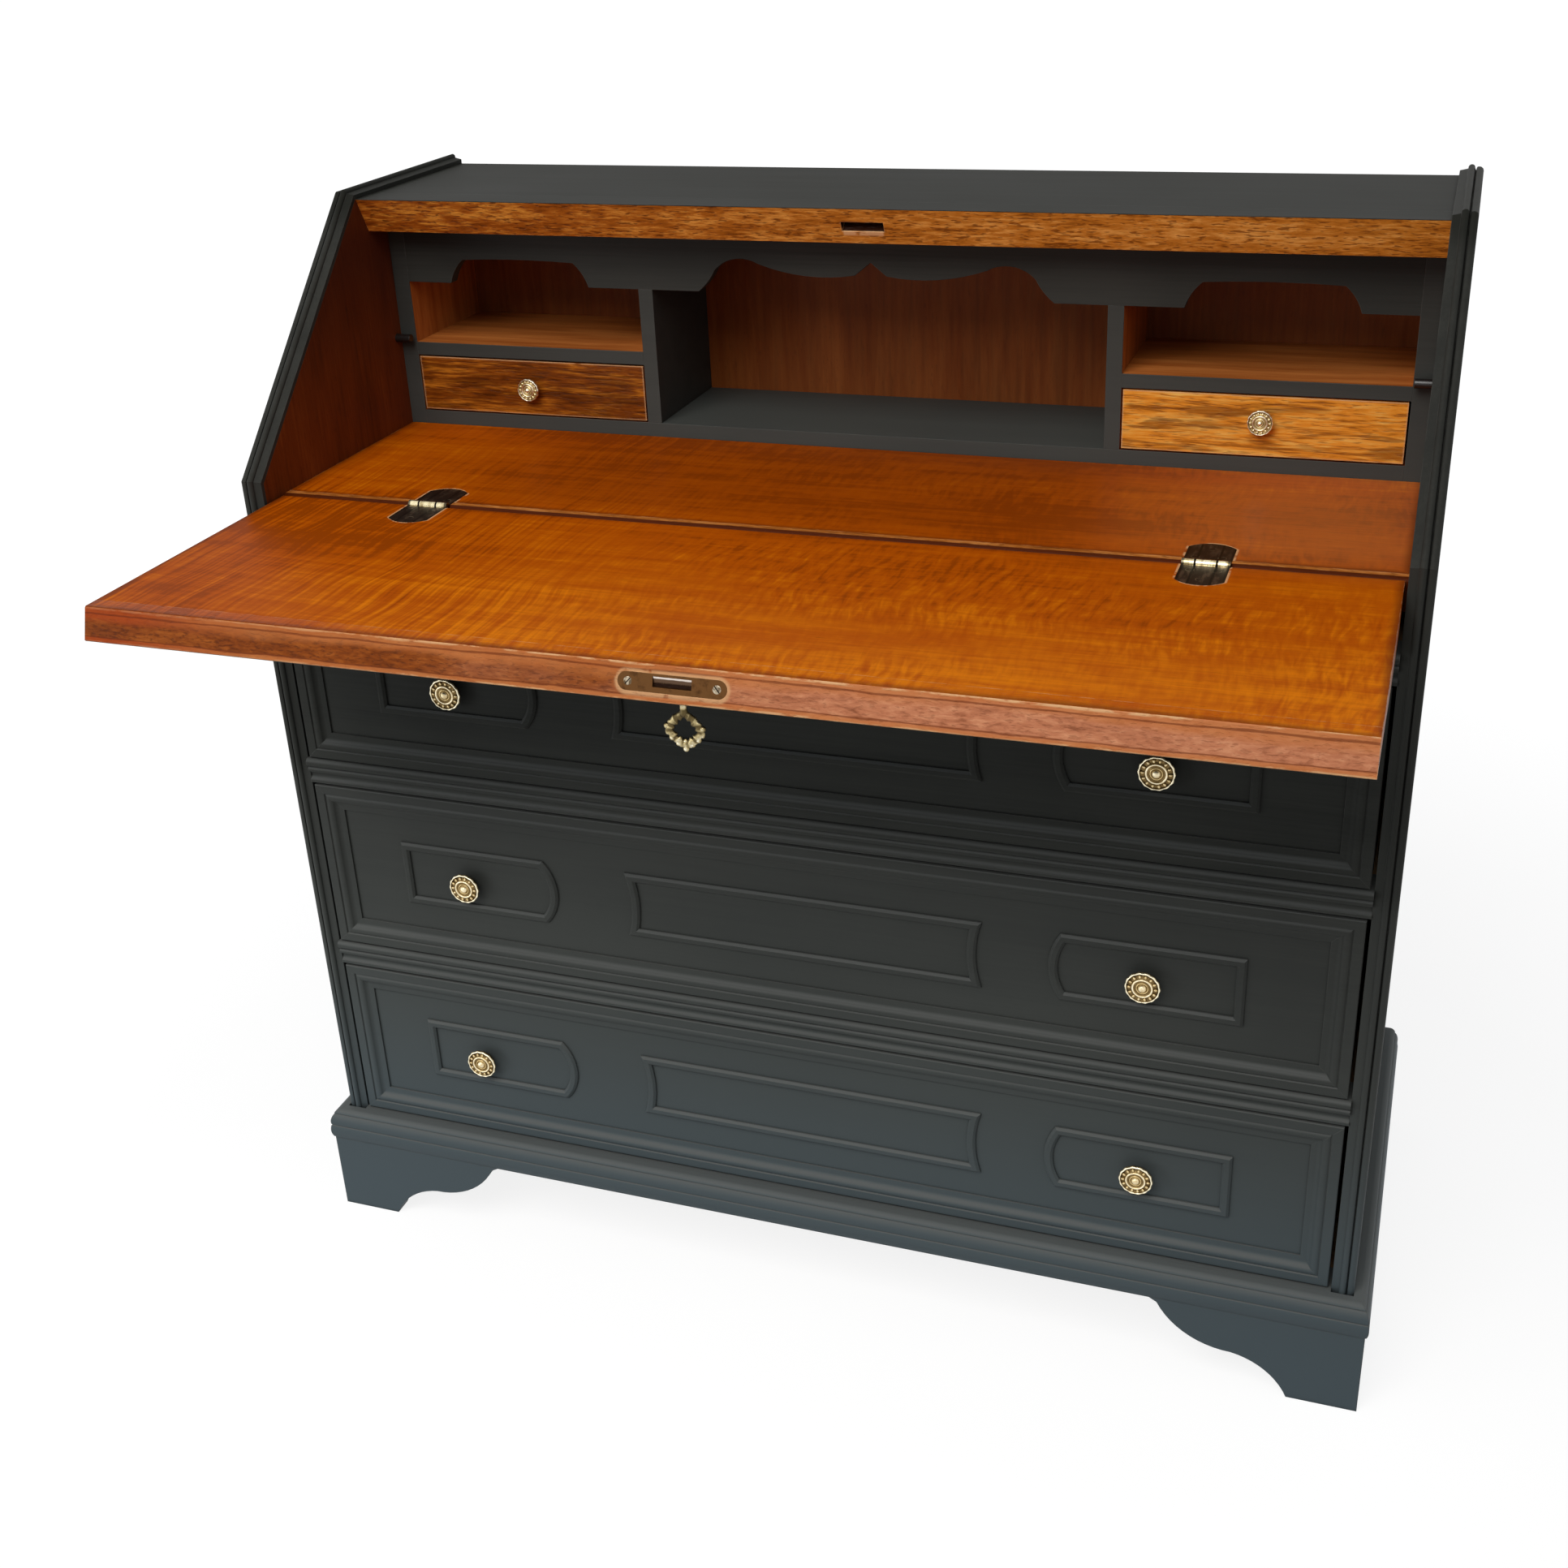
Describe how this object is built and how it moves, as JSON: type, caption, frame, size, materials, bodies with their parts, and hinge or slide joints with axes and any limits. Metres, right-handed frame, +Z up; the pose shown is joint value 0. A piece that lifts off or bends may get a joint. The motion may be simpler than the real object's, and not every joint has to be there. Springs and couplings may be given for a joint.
{
  "type": "secretary desk",
  "caption": "Slant-front secretary desk: a chest of moulded drawers on bracket feet, with a drop flap on pull-out slides and a small gallery of pigeonholes behind it.",
  "frame": {"origin": "on the floor, in the middle of the width and of the whole depth with the flap open", "axes": "+X to the user's right, +Y from the front to the back, +Z up"},
  "size_m": [1.009, 0.663, 0.976],
  "materials": {
    "painted_wood": "worn satin charcoal paint on wood",
    "varnished_wood": "amber varnish over figured hardwood",
    "stained_wood": "red-brown stain",
    "drawer_wood": "orange-brown varnish over figured wood",
    "raw_wood": "bare aged softwood",
    "peg_wood": "dark stained dowel",
    "knob_brass": "aged brass",
    "hinge_metal": "dark patina",
    "lock_metal": "worn steel with a bronze tint",
    "screw_metal": "worn steel"
  },
  "bodies": {
    "carcass": {"side_panel_left": "painted_wood", "side_panel_right": "painted_wood", "edge_mouldings": "painted_wood", "top_board": "painted_wood", "top_front_rail": "varnished_wood", "back_panel": "raw_wood", "writing_bed": "varnished_wood", "bed_nosing": "varnished_wood", "lower_drawer_rail": "painted_wood", "middle_drawer_rail": "painted_wood", "upper_drawer_rail": "painted_wood", "loper_rail": "painted_wood", "bottom_board": "raw_wood", "bottom_rail": "painted_wood", "drawer_runners": "raw_wood", "loper_guides": "raw_wood", "base_mouldings": "painted_wood", "front_bracket_feet": "painted_wood", "side_bracket_feet": "painted_wood", "back_feet": "raw_wood", "foot_corner_blocks": "raw_wood", "gallery_end_panels": "painted_wood", "gallery_dividers": "painted_wood", "gallery_floor": "painted_wood", "gallery_shelves": "painted_wood", "gallery_valance": "painted_wood", "gallery_back": "stained_wood", "gallery_pegs": "peg_wood", "hinge_bed_leaves": "hinge_metal", "hinge_bed_screws": "screw_metal", "hinge_pins": "screw_metal"},
    "flap": {"flap_panel": "varnished_wood", "flap_front_lipping": "varnished_wood", "hinge_flap_leaves": "hinge_metal", "flap_screws": "screw_metal", "lock_case": "lock_metal", "lock_face_plate": "lock_metal", "key_escutcheon": "knob_brass"},
    "lock_bolt": {"lock_bolt": "lock_metal"},
    "key": {"key": "knob_brass"},
    "loper_left": {"loper_left": "painted_wood"},
    "loper_right": {"loper_right": "painted_wood"},
    "lower_drawer": {"lower_drawer_front": "painted_wood", "lower_drawer_mouldings": "painted_wood", "lower_drawer_box": "raw_wood", "lower_drawer_knobs": "knob_brass"},
    "middle_drawer": {"middle_drawer_front": "painted_wood", "middle_drawer_mouldings": "painted_wood", "middle_drawer_box": "raw_wood", "middle_drawer_knobs": "knob_brass"},
    "upper_drawer": {"upper_drawer_front": "painted_wood", "upper_drawer_mouldings": "painted_wood", "upper_drawer_box": "raw_wood", "upper_drawer_knobs": "knob_brass"},
    "left_small_drawer": {"left_small_drawer_front": "drawer_wood", "left_small_drawer_box": "raw_wood", "left_small_drawer_knob": "knob_brass"},
    "right_small_drawer": {"right_small_drawer_front": "drawer_wood", "right_small_drawer_box": "raw_wood", "right_small_drawer_knob": "knob_brass"}
  },
  "joints": [
    {"name": "flap_hinge", "type": "hinge", "parent": "carcass", "child": "flap", "pos_m": [0, -0.05197, 0.748], "axis": [1, 0, 0], "range_deg": [-135.5, 0]},
    {"name": "key_turn", "type": "hinge", "parent": "flap", "child": "key", "pos_m": [0.01, -0.31116, 0.72], "axis": [0, 0, -1], "range_deg": [0, 90]},
    {"name": "bolt_slide", "type": "slide", "parent": "flap", "child": "lock_bolt", "axis": [0, -1, 0], "range_m": [0, 0.006]},
    {"name": "lower_drawer_slide", "type": "slide", "parent": "carcass", "child": "lower_drawer", "axis": [0, -1, 0], "range_m": [0, 0.3]},
    {"name": "middle_drawer_slide", "type": "slide", "parent": "carcass", "child": "middle_drawer", "axis": [0, -1, 0], "range_m": [0, 0.3]},
    {"name": "upper_drawer_slide", "type": "slide", "parent": "carcass", "child": "upper_drawer", "axis": [0, -1, 0], "range_m": [0, 0.3]},
    {"name": "left_small_drawer_slide", "type": "slide", "parent": "carcass", "child": "left_small_drawer", "axis": [0, -1, 0], "range_m": [0, 0.1]},
    {"name": "right_small_drawer_slide", "type": "slide", "parent": "carcass", "child": "right_small_drawer", "axis": [0, -1, 0], "range_m": [0, 0.1]},
    {"name": "loper_left_slide", "type": "slide", "parent": "carcass", "child": "loper_left", "axis": [0, -1, 0], "range_m": [-0.118, 0]},
    {"name": "loper_right_slide", "type": "slide", "parent": "carcass", "child": "loper_right", "axis": [0, -1, 0], "range_m": [-0.118, 0]}
  ],
  "couplings": [
    {"joint": "bolt_slide", "follows": "key_turn", "m_per_rad": 0.0038196}
  ]
}
